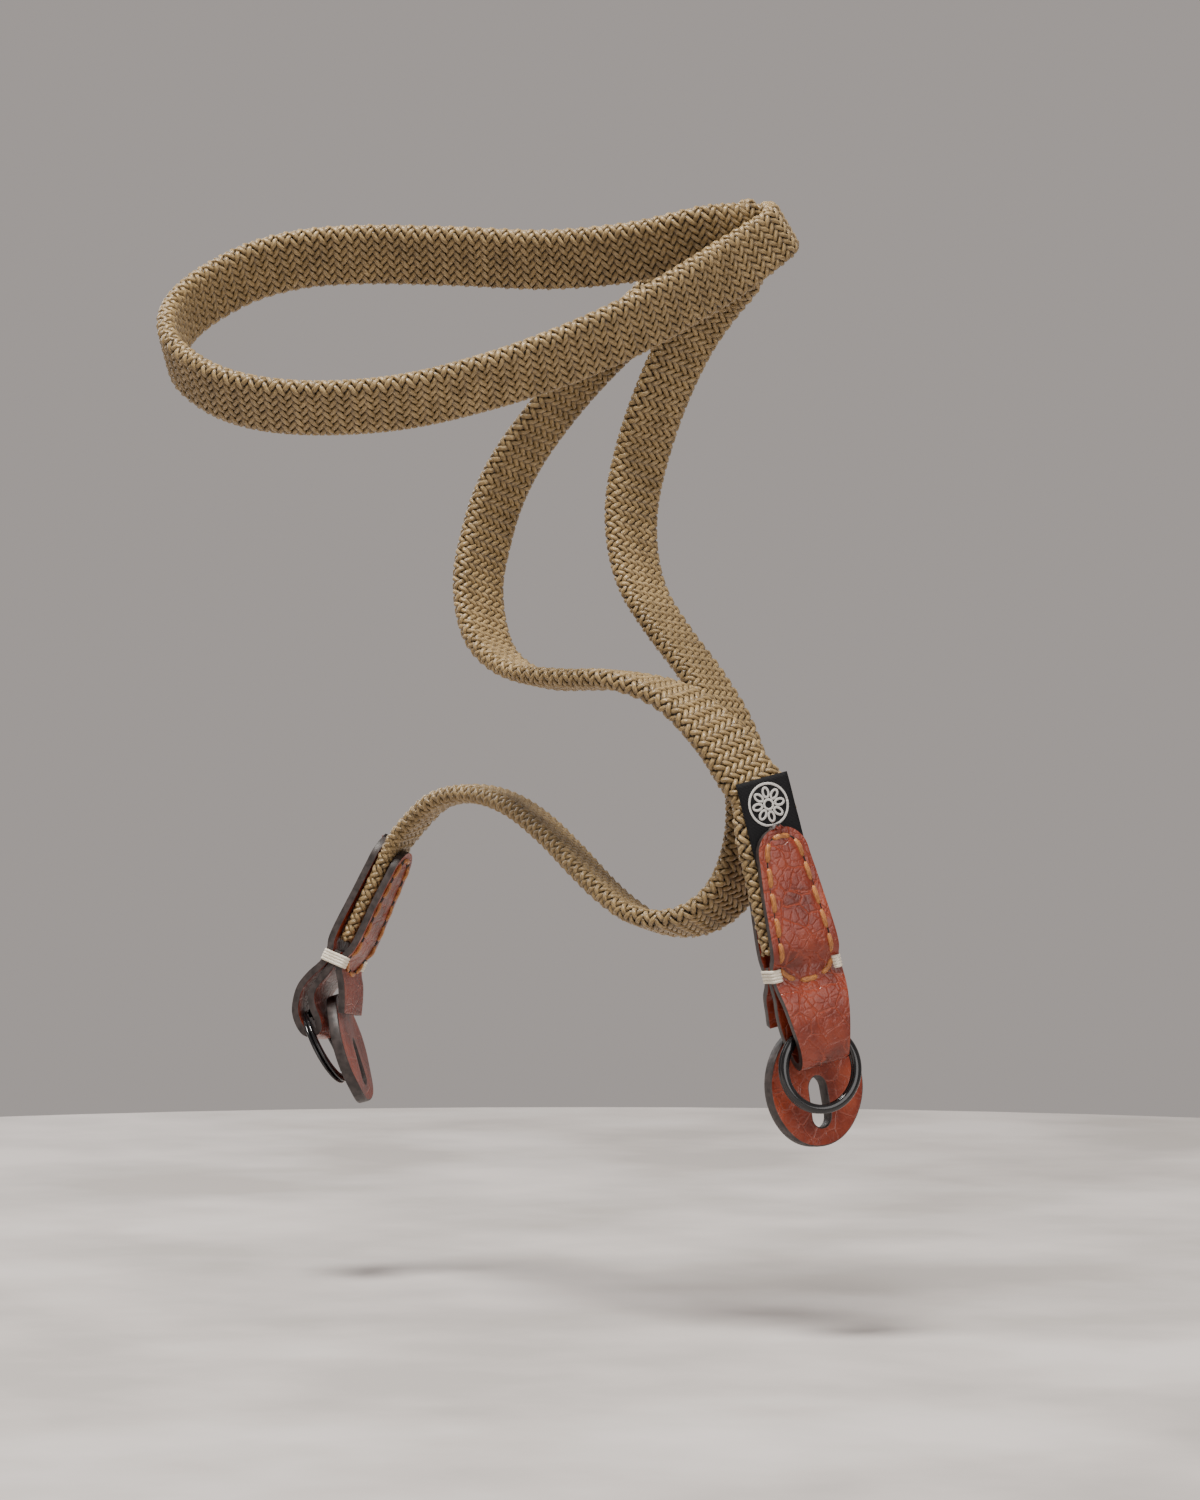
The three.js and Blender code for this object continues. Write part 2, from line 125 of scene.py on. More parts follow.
falling = [
    (0.335, -0.28, 0.965, 0.58, 0.28, -0.76),
    (0.29, -0.18, 0.932, 0.71, 0.4, -0.58),
    (0.236, -0.13, 0.885, 0.77, 0.54, -0.33),
    (0.181, -0.09, 0.82, 0.79, 0.58, -0.19),
    (0.138, -0.01, 0.75, 0.79, 0.58, -0.18),
    (0.116, -0.02, 0.689, 0.77, 0.61, -0.18),
    (0.118, -0.08, 0.635, 0.74, 0.65, -0.16),
    (0.14, -0.17, 0.587, 0.72, 0.68, -0.14),
    (0.192, -0.31, 0.538, 0.7, 0.7, -0.12),
    (0.262, -0.48, 0.484, 0.68, 0.72, -0.1),
    (0.32, -0.61, 0.427, 0.68, 0.73, -0.1),
    (0.353, -0.69, 0.365, 0.69, 0.71, -0.14),
    (0.358, -0.74, 0.308, 0.68, 0.69, -0.25),
    (0.338, -0.77, 0.26, 0.62, 0.7, -0.36),
    (0.302, -0.775, 0.227, 0.52, 0.77, -0.37),
    (0.25, -0.755, 0.206, 0.48, 0.82, -0.29),
    (0.192, -0.7, 0.199, 0.54, 0.81, -0.22),
    (0.136, -0.61, 0.205, 0.61, 0.75, -0.25),
    (0.084, -0.49, 0.223, 0.65, 0.69, -0.32),
    (0.034, -0.33, 0.247, 0.68, 0.62, -0.38),
    (-0.035, -0.07, 0.285, 0.71, 0.59, -0.38),
    (-0.11, 0.2, 0.319, 0.75, 0.58, -0.3),
    (-0.18, 0.43, 0.337, 0.78, 0.59, -0.16),
    (-0.24, 0.61, 0.341, 0.77, 0.63, 0),
    (-0.29, 0.74, 0.336, 0.7, 0.69, 0.15),
    (-0.341, 0.872, 0.319, 0.55, 0.78, 0.28),
]
crease_centre = (0.387, -0.353, 0.996)
crease_edge = (0.5, 0.3, -0.81)
crease_outward = (0.788, 0.231, 0.572)
crease_steps, steps_between_rows = 8, 24


def unit(v):
    return np.asarray(v, float) / np.linalg.norm(v)


def spline(points, at, centripetal=True):
    """Places and directions, at these row numbers, on a smooth line through the points."""
    p = np.asarray(points, float)
    p = np.vstack([2 * p[0] - p[1], p, 2 * p[-1] - p[-2]])
    row = np.minimum(np.asarray(at, float).astype(int), len(points) - 2)
    w = (np.asarray(at, float) - row)[:, None]
    a, b, c, d = (p[row + k] for k in range(4))
    if centripetal:
        s, m, e = (np.sqrt(np.linalg.norm(y - x, axis=1))[:, None] for x, y in ((a, b), (b, c), (c, d)))
        start = ((b - a) / s - (c - a) / (s + m) + (c - b) / m) * m
        end = ((c - b) / m - (d - b) / (m + e) + (d - c) / e) * m
    else:
        start, end = (c - a) / 2, (d - b) / 2
    square, cube = 3 * (c - b) - 2 * start - end, 2 * (b - c) + start + end
    return b + start * w + square * w ** 2 + cube * w ** 3, start + 2 * square * w + 3 * cube * w ** 2


display = Matrix.Rotation(math.radians(display_turn), 4, "Z")


def seat(fitting, part):
    """Where a fitting's tab or disc sits, in millimetres in the turned frame."""
    (right, back, up), lean, turn = fitting[part]
    half = hang_span / 2 * fitting["side"] * math.cos(math.radians(display_turn))
    place = Matrix.Translation((half + right, -half + back, up))
    return place @ Matrix.Rotation(math.radians(lean), 4, "Y") @ Matrix.Rotation(math.radians(turn), 4, "Z")


def to_row(matrix, points):
    """Points in a fitting's own frame, in millimetres, taken to the model's frame in metres."""
    m = np.array(display @ matrix)
    return (np.asarray(points, float) @ m[:3, :3].T + m[:3, 3]) * metre


# Materials
def material(name, roughness, **sockets):
    made = bpy.data.materials.new(name)
    made.use_nodes = True
    nodes, links = made.node_tree.nodes, made.node_tree.links
    shader = nodes["Principled BSDF"]
    shader.inputs["Roughness"].default_value = roughness
    for key, value in sockets.items():
        shader.inputs[key.replace("_", " ")].default_value = value
    return made, nodes, links, shader


def add(nodes, kind, **values):
    node = nodes.new(kind)
    for key, value in values.items():
        if key in node.inputs:
            node.inputs[key].default_value = value
        else:
            setattr(node, key, value)
    return node


def ramp(nodes, links, factor, stops):
    """Colours at rising places of a factor."""
    node = nodes.new("ShaderNodeValToRGB")
    for element, (place, colour) in zip(node.color_ramp.elements, (stops[0], stops[-1])):
        element.position, element.color = place, (*colour, 1)
    for place, colour in stops[1:-1]:
        node.color_ramp.elements.new(place).color = (*colour, 1)
    links.new(factor, node.inputs["Fac"])
    return node.outputs["Color"]


def bump(nodes, links, shader, heights, distance):
    """Relief from several heights, each with its own strength."""
    last = None
    for height, strength in heights:
        node = add(nodes, "ShaderNodeBump", Strength=strength, Distance=distance)
        links.new(height, node.inputs["Height"])
        if last:
            links.new(last, node.inputs["Normal"])
        last = node.outputs["Normal"]
    links.new(last, shader.inputs["Normal"])


def placed_noise(nodes, links, source, stretch, scale, detail=4.0, turn=(0, 0, 0)):
    coords = nodes.new("ShaderNodeTexCoord")
    mapping = add(nodes, "ShaderNodeMapping", Scale=stretch, Rotation=turn)
    links.new(coords.outputs[source], mapping.inputs["Vector"])
    noise = add(nodes, "ShaderNodeTexNoise", Scale=scale, Detail=detail)
    links.new(mapping.outputs["Vector"], noise.inputs["Vector"])
    return noise.outputs["Fac"]


def yarn_material(name, dark, mid, light, roughness, paints_dip_shade=False):
    """Filament yarn: fine threads run along each strand; for the braid its colour is darkened as painted shade
    where the strand dips under others.
    """
    made, nodes, links, shader = material(name, roughness, Sheen_Weight=0.1, Sheen_Roughness=0.4)
    filaments = placed_noise(nodes, links, "UV", (9, 0.9, 1), 1.6, 3.0, (0, 0, 0.22))
    shade = placed_noise(nodes, links, "Object", (1, 1, 1), 260, 3.0)
    blend = add(nodes, "ShaderNodeMath", operation="MULTIPLY_ADD")
    links.new(filaments, blend.inputs[0])
    blend.inputs[1].default_value = 0.9
    slow = add(nodes, "ShaderNodeMath", operation="MULTIPLY_ADD")
    links.new(shade, slow.inputs[0])
    slow.inputs[1].default_value, slow.inputs[2].default_value = 0.3, -0.1
    links.new(slow.outputs[0], blend.inputs[2])
    tone = ramp(nodes, links, blend.outputs[0], [(0.3, dark), (0.5, mid), (0.72, light)])
    # Painted shade: darken the colour where the strand dips under its neighbours, by its lift.
    if paints_dip_shade:
        lift = add(nodes, "ShaderNodeAttribute", attribute_name="lift")
        depth = ramp(nodes, links, lift.outputs["Fac"], [(0.35, (0.12, 0.10, 0.09)), (0.8, (1, 1, 1))])
        painted_dip_shade = add(nodes, "ShaderNodeMix", data_type="RGBA", blend_type="MULTIPLY")
        painted_dip_shade.inputs["Factor"].default_value = 1
        links.new(tone, painted_dip_shade.inputs[6])
        links.new(depth, painted_dip_shade.inputs[7])
        tone = painted_dip_shade.outputs[2]
    links.new(tone, shader.inputs["Base Color"])
    bump(nodes, links, shader, [(filaments, 0.8)], 0.00012)
    return made


def leather_material(name, dark, mid, light, roughness):
    """Pebbled leather: rounded cells between fine creases that are a little lighter."""
    made, nodes, links, shader = material(name, roughness, Specular_IOR_Level=0.5)
    coords = nodes.new("ShaderNodeTexCoord")
    warp = add(nodes, "ShaderNodeTexNoise", Scale=420, Detail=3.0)
    links.new(coords.outputs["Object"], warp.inputs["Vector"])
    mix = add(nodes, "ShaderNodeMix", data_type="VECTOR")
    mix.inputs["Factor"].default_value = 0.0012
    links.new(coords.outputs["Object"], mix.inputs[4])
    links.new(warp.outputs["Color"], mix.inputs[5])
    cells = add(nodes, "ShaderNodeTexVoronoi", feature="DISTANCE_TO_EDGE", Scale=520, Randomness=1.0)
    links.new(mix.outputs[1], cells.inputs["Vector"])
    folds = add(nodes, "ShaderNodeTexVoronoi", feature="DISTANCE_TO_EDGE", Scale=210, Randomness=1.0)
    links.new(mix.outputs[1], folds.inputs["Vector"])
    grain = ramp(nodes, links, cells.outputs["Distance"], [(0.0, (0, 0, 0)), (0.16, (1, 1, 1))])
    crease = ramp(nodes, links, folds.outputs["Distance"], [(0.0, (0, 0, 0)), (0.05, (1, 1, 1))])
    cloud = placed_noise(nodes, links, "Object", (1, 1, 1), 130, 5.0)
    tone = ramp(nodes, links, cloud, [(0.3, dark), (0.5, mid), (0.72, light)])
    veins = add(nodes, "ShaderNodeMix", data_type="RGBA", blend_type="MIX")
    links.new(crease, veins.inputs["Factor"])
    veins.inputs[6].default_value = (*[(a + b) / 2 for a, b in zip(mid, light)], 1)
    links.new(tone, veins.inputs[7])
    links.new(veins.outputs[2], shader.inputs["Base Color"])
    fine = placed_noise(nodes, links, "Object", (1, 1, 1), 2600, 3.0)
    bump(nodes, links, shader, [(crease, 0.55), (grain, 0.3), (fine, 0.25)], 0.0002)
    return made


def plain_material(name, dark, light, roughness, scale, depth, **sockets):
    """Two close shades in clouds, with slight relief."""
    made, nodes, links, shader = material(name, roughness, **sockets)
    cloud = placed_noise(nodes, links, "Object", (1, 1, 1), scale, 4.0)
    links.new(ramp(nodes, links, cloud, [(0.35, dark), (0.65, light)]), shader.inputs["Base Color"])
    bump(nodes, links, shader, [(cloud, 0.6)], depth)
    return made


def woven_material(name, dark, light):
    """Fine woven ribbon: two crossed sets of ridges in the piece's own map."""
    made, nodes, links, shader = material(name, 0.8, Specular_IOR_Level=0.25)
    coords = nodes.new("ShaderNodeTexCoord")
    ridges = []
    for way in ("X", "Y"):
        wave = add(nodes, "ShaderNodeTexWave", bands_direction=way, Scale=1.1, Distortion=0.4)
        links.new(coords.outputs["UV"], wave.inputs["Vector"])
        ridges.append(wave.outputs["Fac"])
    both = add(nodes, "ShaderNodeMath", operation="MULTIPLY")
    links.new(ridges[0], both.inputs[0])
    links.new(ridges[1], both.inputs[1])
    links.new(ramp(nodes, links, both.outputs[0], [(0.0, dark), (1.0, light)]), shader.inputs["Base Color"])
    bump(nodes, links, shader, [(both.outputs[0], 0.6)], 0.00008)
    return made


# The braid's yarn gets painted shade where its strands dip.
braid_yarn = yarn_material(
    "braid_yarn", (0.10, 0.062, 0.022), (0.27, 0.18, 0.075), (0.52, 0.37, 0.18), 0.34, paints_dip_shade=True)
# Near-black core colour: painted shade for the gaps between strands.
braid_core_dark = plain_material(
    "braid_core_dark", (0.02, 0.012, 0.006), (0.045, 0.028, 0.013), 0.9, 900, 0.0001)
red_leather = leather_material(
    "red_leather", (0.085, 0.010, 0.004), (0.19, 0.024, 0.009), (0.30, 0.052, 0.02), 0.3)
edge_paint = plain_material("edge_paint", (0.018, 0.013, 0.012), (0.05, 0.038, 0.036), 0.5, 700, 0.00012)
stitch_yarn = yarn_material("stitch_yarn", (0.14, 0.04, 0.008), (0.38, 0.135, 0.03), (0.62, 0.28, 0.08), 0.4)
binding_yarn = yarn_material("binding_yarn", (0.55, 0.47, 0.35), (0.78, 0.71, 0.58), (0.9, 0.86, 0.76), 0.4)
# Near-black stitch holes: painted shade inside each hole.
stitch_hole_painted_shade = plain_material("stitch_hole_painted_shade", (0.004, 0.002, 0.001), (0.012, 0.006, 0.004), 0.8, 900, 0.00005)
label_weave = woven_material("label_weave", (0.003, 0.003, 0.004), (0.012, 0.012, 0.014))
label_white = woven_material("label_white", (0.45, 0.44, 0.42), (0.85, 0.84, 0.8))
ring_black = plain_material(
    "ring_black", (0.006, 0.006, 0.007), (0.014, 0.014, 0.016), 0.16, 300, 0.00001,
    Metallic=0.4, Coat_Weight=0.5)


# Mesh pieces
def piece(name, vertices, faces, looks, uvs=None, stands_for=(), lifts=None):
    """A smooth mesh on the root body, with its own map and, for the braid, how high each point rides."""
    mesh = bpy.data.meshes.new(name)
    mesh.from_pydata([tuple(v) for v in np.asarray(vertices)], [], faces)
    for look in looks:
        mesh.materials.append(look)
    if uvs is not None:
        layer = mesh.uv_layers.new(name="UVMap")
        corners = np.zeros(len(mesh.loops), int)
        mesh.loops.foreach_get("vertex_index", corners)
        layer.data.foreach_set("uv", np.asarray(uvs, float)[corners].ravel())
    if lifts is not None:
        mesh.attributes.new("lift", "FLOAT", "POINT").data.foreach_set("value", lifts)
    mesh.polygons.foreach_set("use_smooth", [True] * len(mesh.polygons))
    mesh.update()
    made = bpy.data.objects.new(name, mesh)
    bpy.context.scene.collection.objects.link(made)
    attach(made, "root")
    if stands_for:
        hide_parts(*stands_for)
    return made


def tubes(paths, uppers, half_width, half_height, sides):
    """One flattened tube round each path; uppers are the directions that its flat faces look in."""
    vertices, faces, uvs = [], [], []
    start = 0
    ring = np.arange(sides) * 2 * math.pi / sides
    for path, upper in zip(paths, uppers):
        along = np.gradient(path, axis=0)
        across = np.cross(along, upper)
        across /= np.linalg.norm(across, axis=1)[:, None]
        over = np.cross(across, along)
        over /= np.linalg.norm(over, axis=1)[:, None]
        count = len(path)
        shell = (path[:, None] + across[:, None] * (half_width * np.cos(ring))[None, :, None]
                 + over[:, None] * (half_height * np.sin(ring))[None, :, None])
        vertices.append(shell.reshape(-1, 3))
        run = np.concatenate([[0], np.cumsum(np.linalg.norm(np.diff(path, axis=0), axis=1))]) / metre
        uvs.append(np.stack([np.tile(np.abs(ring / math.pi - 1), count), np.repeat(run, sides)], 1))
        faces.extend((ring_quads(count, sides) + start).tolist())
        faces.append([start + k for k in range(sides)])
        faces.append([start + (count - 1) * sides + k for k in reversed(range(sides))])
        start += count * sides
    return np.concatenate(vertices), faces, np.concatenate(uvs)


def ring_quads(rows, sides):
    """Faces between closed rings of points, one ring after the other."""
    a = np.arange(rows - 1)[:, None] * sides + np.arange(sides)[None]
    b = np.arange(rows - 1)[:, None] * sides + (np.arange(sides)[None] + 1) % sides
    return np.stack([a, a + sides, b + sides, b], -1).reshape(-1, 4)


def grid_quads(rows, columns):
    """Faces between open rows of points."""
    a = (np.arange(rows - 1)[:, None] * columns + np.arange(columns - 1)[None]).ravel()
    return np.stack([a, a + 1, a + 1 + columns, a + columns], -1).tolist()


# The braid
def tab_rows(fitting, sign):
    """The band's straight rows between the leather layers of one end."""
    matrix = np.array(seat(fitting, "tab"))
    rows = []
    for share in (0, 0.3, 0.7, 1):
        height = band_end + (straight_height - band_end) * share
        rows.append((matrix[:3, :3] @ (fitting["band_aside"], 0, height) + matrix[:3, 3],
                     sign * matrix[:3, 0], (1, sewn_thickness, 1)))
    return rows


def table_rows(rows):
    """The rows of a route table, in millimetres, with a unit edge direction."""
    reaches = (side_reach, depth_reach, rise)
    return [(np.array([share * reach for share, reach in zip(row, reaches)]), unit(row[3:]),
             (1, 1, free_square)) for row in rows]


def crease_rows(layers, side, shift, thick, entry):
    """Half a turn round the folded crease, so many layers out from its middle."""
    edge, outward = unit(crease_edge), unit(crease_outward)
    centre = np.array(crease_centre) * (side_reach, depth_reach, rise) - edge * shift
    behind = unit(np.cross(outward, edge))
    radius = layers * (band_thickness * crease_thickness + clearance)
    rows = []
    for i in range(crease_steps + 1):
        angle = math.radians(entry + (180 - entry) * i / crease_steps)
        rows.append((centre + behind * side * radius * math.cos(angle) + outward * radius * math.sin(angle),
                     edge, (crease_width, thick, 0)))
    return rows


route = [*tab_rows(near, 1), *table_rows(rising), *crease_rows(1.5, 1, 0, crease_thickness, 25),
         *table_rows(upper_loop), *crease_rows(0.5, -1, 3, inner_crease_thickness, 0),
         *table_rows(falling), *reversed(tab_rows(far, -1))]
places, edges, shares = (np.array([row[k] for row in route], float) for k in range(3))
fine = np.linspace(0, len(route) - 1, (len(route) - 1) * steps_between_rows + 1)
run_at = np.concatenate([[0], np.cumsum(np.linalg.norm(np.diff(spline(places, fine)[0], axis=0), axis=1))])
band_length = run_at[-1]
to_display = np.array(display)[:3, :3]


def band_frame(run):
    """Place, edge and face directions and the width and thickness shares, so far along the band."""
    at = np.interp(run, run_at, fine)
    place, along = spline(places, at)
    along /= np.linalg.norm(along, axis=1)[:, None]
    row = np.minimum(at.astype(int), len(route) - 2)
    share = shares[row] + (shares[row + 1] - shares[row]) * (at - row)[:, None]
    edge = spline(edges, at, centripetal=False)[0]
    edge = edge - along * (np.sum(edge * along, axis=1) * share[:, 2])[:, None]
    edge /= np.linalg.norm(edge, axis=1)[:, None]
    face = np.cross(along, edge)
    face /= np.linalg.norm(face, axis=1)[:, None]
    return place @ to_display.T, edge @ to_display.T, face @ to_display.T, share


def round_band(way, flat, radius):
    """Where a point sits that has gone so far round the band's section, and the outward direction."""
    first, turn = 2 * flat, math.pi * radius
    way = np.mod(way, 2 * (first + turn))
    stages = [way < first, way < first + turn, way < 2 * first + turn]
    angle = np.where(stages[1], (way - first) / radius, (way - 2 * first - turn) / radius)
    sine, cosine = np.sin(angle), np.cos(angle)
    x = np.select(stages, [way - flat, flat + radius * sine, flat - (way - first - turn)],
                  -flat - radius * sine)
    y = np.select(stages, [radius, radius * cosine, -radius], -radius * cosine)
    across = np.select(stages, [0, sine, 0], -sine)
    up = np.select(stages, [1, cosine, -1], -cosine)
    return x, y, across, up


carriers = 14
crossing_step = 0.725
cuts_between_waves = 6
strand_sides, core_sides, core_rows = 6, 16, 600
strand_end_inset, core_depth = 0.3, 1.1
strand_half_width, strand_half_height, wave_height = 0.54, 0.42, 0.42
strand_above_band = 0.06
strand_depth = band_thickness / 2 - strand_half_height - wave_height + strand_above_band
flat_half = (band_width - band_thickness) / 2
crests = {1: 0.5, -1: 2.5}


def braid_strands():
    """Two lays of strands that pass over two and under two, in stacks across the band."""
    carrier_gap = (4 * flat_half + 2 * math.pi * strand_depth) / carriers
    cuts = int(round(band_length / (4 * crossing_step))) * cuts_between_waves + 1
    run = np.linspace(strand_end_inset, band_length - strand_end_inset, cuts)
    place, edge, face, share = band_frame(run)
    crossings = run / crossing_step
    groups = {}
    for hand, crest in crests.items():
        wave = np.cos((crossings - crest) * math.pi / 2)
        height = wave_height * wave
        for carrier in range(carriers):
            way = carrier * carrier_gap + hand * crossings * carrier_gap / 2
            x, y, across, up = round_band(way, flat_half, strand_depth)
            path = (place + edge * ((x + across * height) * share[:, 0])[:, None]
                    + face * ((y + up * height) * share[:, 1])[:, None])
            upper = edge * across[:, None] + face * up[:, None]
            groups.setdefault((hand, carrier % 4), []).append((path * metre, upper, (wave + 1) / 2))
    for (hand, part), strands in groups.items():
        name = "braid_%s_%d" % ("right_lay" if hand > 0 else "left_lay", part + 1)
        paths, uppers, heights = zip(*strands)
        vertices, faces, uvs = tubes(
            paths, uppers, strand_half_width * metre, strand_half_height * metre, strand_sides)
        lifts = np.concatenate([np.repeat(height, strand_sides) for height in heights])
        piece(name, vertices, faces, [braid_yarn], uvs, lifts=lifts)


def braid_core():
    """The braid's inside, painted near-black as shade that shows between the strands."""
    place, edge, face, share = band_frame(np.linspace(0, band_length, core_rows))
    way = np.arange(core_sides) / core_sides * (4 * flat_half + 2 * math.pi * core_depth)
    x, y, _, _ = round_band(way, flat_half, core_depth)
    shell = (place[:, None] + edge[:, None] * (x[None] * share[:, :1])[..., None]
             + face[:, None] * (y[None] * share[:, 1:2])[..., None]) * metre
    faces = ring_quads(core_rows, core_sides).tolist()
    last_ring = (core_rows - 1) * core_sides
    faces += [list(range(core_sides)), [last_ring + k for k in reversed(range(core_sides))]]
    core = piece("braid_core", shell.reshape(-1, 3), faces, [braid_core_dark], stands_for=("band",))
    bm = bmesh.new()
    bm.from_mesh(core.data)
    bmesh.ops.recalc_face_normals(bm, faces=bm.faces)
    bm.to_mesh(core.data)
    bm.free()


braid_strands()
braid_core()


# Leather ends
sewn_band = band_thickness * sewn_thickness
back_layer = sewn_band / 2 + clearance + leather_wall / 2
bound_step = leather_wall + layer_gap
bound_half = 1.5 * leather_wall + layer_gap
seat_gap = binding_tall / 2 + clearance
front_puff, furrow_share, edge_puff_share, furrow_width = 0.5, 0.35, 0.35, 1.1
worn_edge, strip_columns, row_gap = 0.3, 25, 0.8
tip_rows = [0, 0.08, 0.25, 0.5, 0.8, 1.2, 1.7, 2.3, 3.0, 3.8]
stitch_inset, stitch_gap, foot_rise, foot_drop = 1.9, 5.1, 1.4, 3.6
arc_steps, line_steps = 30, 400


def half_width(height, top):
    """Half the strip's width at each height, up to its rounded tip."""
    tip_radius = tip_width / 2
    rows = [(loop_width / 2, -loop_drop / 4), (loop_width / 2, loop_drop / 8),
            ((loop_width + 2 * binding_width) / 6, loop_drop * 0.6), (binding_width / 2, binding_height),
            ((tip_width + binding_width) / 4, (binding_height + top) / 2), (tip_radius, top - tip_radius)]
    line = spline([(x, z, 0) for x, z in rows], np.linspace(0, len(rows) - 1, 60), centripetal=False)[0]
    wide = np.interp(height, line[:, 1], line[:, 0])
    into_tip = np.clip((height - (top - tip_radius)) / tip_radius, 0, 1)
    return np.where(into_tip > 0, tip_radius * np.sqrt(1 - into_tip ** 2) + 0.02, wide)


def leg_rows(layer, bound_layer, top):
    """The side profile of one leg, from its tip down to the whipping that pinches it."""
    opening = binding_height + binding_tall / 2 + pinch_rise
    return [(layer, top), (layer, (top + opening) / 2), (layer, opening),
            (bound_layer, binding_height + seat_gap), (bound_layer, binding_height - seat_gap)]


def in_loop(rows):
    """The side profile below the whipping, from its shares of the loop's drop."""
    return [(y * loop_drop, z * loop_drop + binding_height - loop_drop) for y, z in rows]


def stitch_line(top):
    """The oval that the stitches follow: across and up places at even steps, and its length."""
    foot = binding_height + foot_rise
    tip_radius = tip_width / 2
    radius = tip_radius - stitch_inset
    arc = np.linspace(0, math.pi, arc_steps)[1:-1]
    right = [(half_width(h, top) - stitch_inset, h) for h in np.linspace(foot, top - tip_radius, 60)]
    wide = right[0][0]
    over_tip = [(radius * math.cos(a), top - tip_radius + radius * math.sin(a)) for a in arc]
    left = [(-x, z) for x, z in reversed(right)]
    under_foot = [(-wide * math.cos(a), foot - foot_drop * math.sin(a)) for a in arc]
    line = np.array(right + over_tip + left + under_foot + [right[0]])
    run = np.concatenate([[0], np.cumsum(np.linalg.norm(np.diff(line, axis=0), axis=1))])
    even = np.linspace(0, run[-1], line_steps + 1)[:-1]
    return np.stack([np.interp(even, run, line[:, 0]), np.interp(even, run, line[:, 1])], 1), run[-1]


def padding(x, z, is_outer, top, puff):
    """How far the leather stands up between the stitches and sinks along them."""
    oval, _ = stitch_line(top)
    gap = np.min(np.hypot(x[..., None] - oval[:, 0], z[:, None, None] - oval[:, 1]), axis=2)
    order = np.argsort(oval[:, 1])
    inside = np.abs(x) < np.interp(z, oval[order, 1], np.abs(oval[order, 0]))[:, None]
    swell = np.where(inside, 1, edge_puff_share) * puff * np.clip(gap / furrow_width, 0, 1) ** 0.7
    is_padded = is_outer[:, None] & (z[:, None] > binding_height - 4)
    return np.where(is_padded, swell - puff * furrow_share, 0)


def strip(name, fitting, rows, top, stands_for, puff=0.0):
    """A leather strip along a side profile, with its width from the outline and dark painted edges."""
    middle, _ = spline([(y, z, 0) for y, z in rows], np.linspace(0, len(rows) - 1, len(rows) * 9))
    run = np.concatenate([[0], np.cumsum(np.linalg.norm(np.diff(middle, axis=0), axis=1))])
    even = np.concatenate([tip_rows, np.linspace(tip_rows[-1] + row_gap, run[-1], int(run[-1] / row_gap))])
    y, z = np.interp(even, run, middle[:, 0]), np.interp(even, run, middle[:, 1])
    slope_y, slope_z = np.gradient(y, even), np.gradient(z, even)
    size = np.hypot(slope_y, slope_z)
    x = half_width(z, top)[:, None] * np.linspace(-1, 1, strip_columns)[None]
    lift = padding(x, z, even < run[-1] * 0.6, top, puff) if puff else np.zeros_like(x)
    outward_y = y[:, None] + (slope_z / size)[:, None] * lift
    outward_z = z[:, None] - (slope_y / size)[:, None] * lift
    points = to_row(seat(fitting, "tab"), np.stack([x, outward_y, outward_z], -1).reshape(-1, 3))
    faces = grid_quads(len(even), strip_columns)
    made = piece(name, points, faces, [red_leather, edge_paint], stands_for=stands_for)
    finish_sheet(made, leather_wall)


def finish_sheet(made, wall):
    """Gives a leather sheet its wall, its painted edge and its worn corners."""
    thick = made.modifiers.new("wall", "SOLIDIFY")
    thick.thickness, thick.offset, thick.use_even_offset = wall * metre, 0, True
    thick.material_offset_rim = 1
    thick.use_quality_normals = True
    worn = made.modifiers.new("worn_edge", "BEVEL")
    worn.width, worn.segments = worn_edge * metre, 2
    worn.limit_method, worn.angle_limit, worn.material = "ANGLE", math.radians(50), 1


def sewn(name, fitting, rows, side, top, puff=0.0):
    """Saddle stitches round the oval: at each end of every stitch a near-black disc of painted shade stands for
    the hole.
    """
    line, length = stitch_line(top)
    count = int(round(length / stitch_gap))
    place = seat(fitting, "tab")
    upper = np.array(display @ place)[:3, 1] * side
    profile = spline([(y, z, 0) for y, z in rows[:7]], np.linspace(0, 6, 80))[0]
    order = np.argsort(profile[:, 1])
    face_step = side * (leather_wall / 2 - puff * furrow_share)

    def on_line(spots, above):
        """Points over the leather's face, so many stitches along the oval."""
        steps = np.arange(-line_steps, 2 * line_steps)
        x, z = (np.interp(spots / count * line_steps, steps, np.tile(line[:, c], 3)) for c in (0, 1))
        y = np.interp(z, profile[order, 1], profile[order, 0]) + face_step
        return to_row(place, np.stack([x, y + side * above, z], 1))

    arch = np.sin(np.linspace(0, math.pi, 9)) ** 0.6 * 0.42 - 0.18
    threads = [on_line(np.linspace(0.14, 0.86, 9) + k, arch) for k in range(count)]
    holes = [on_line(np.array([-0.17, 0, 0.17]) + k, 0.03) for k in range(count)]
    vertices, faces, uvs = tubes(threads, [np.tile(upper, (9, 1))] * count, 0.58 * metre, 0.4 * metre, 10)
    piece(name + "_stitches", vertices, faces, [stitch_yarn], uvs)
    vertices, faces, uvs = tubes(holes, [np.tile(upper, (3, 1))] * count, 0.78 * metre, 0.07 * metre, 12)
    piece(name + "_holes", vertices, faces, [stitch_hole_painted_shade], uvs)


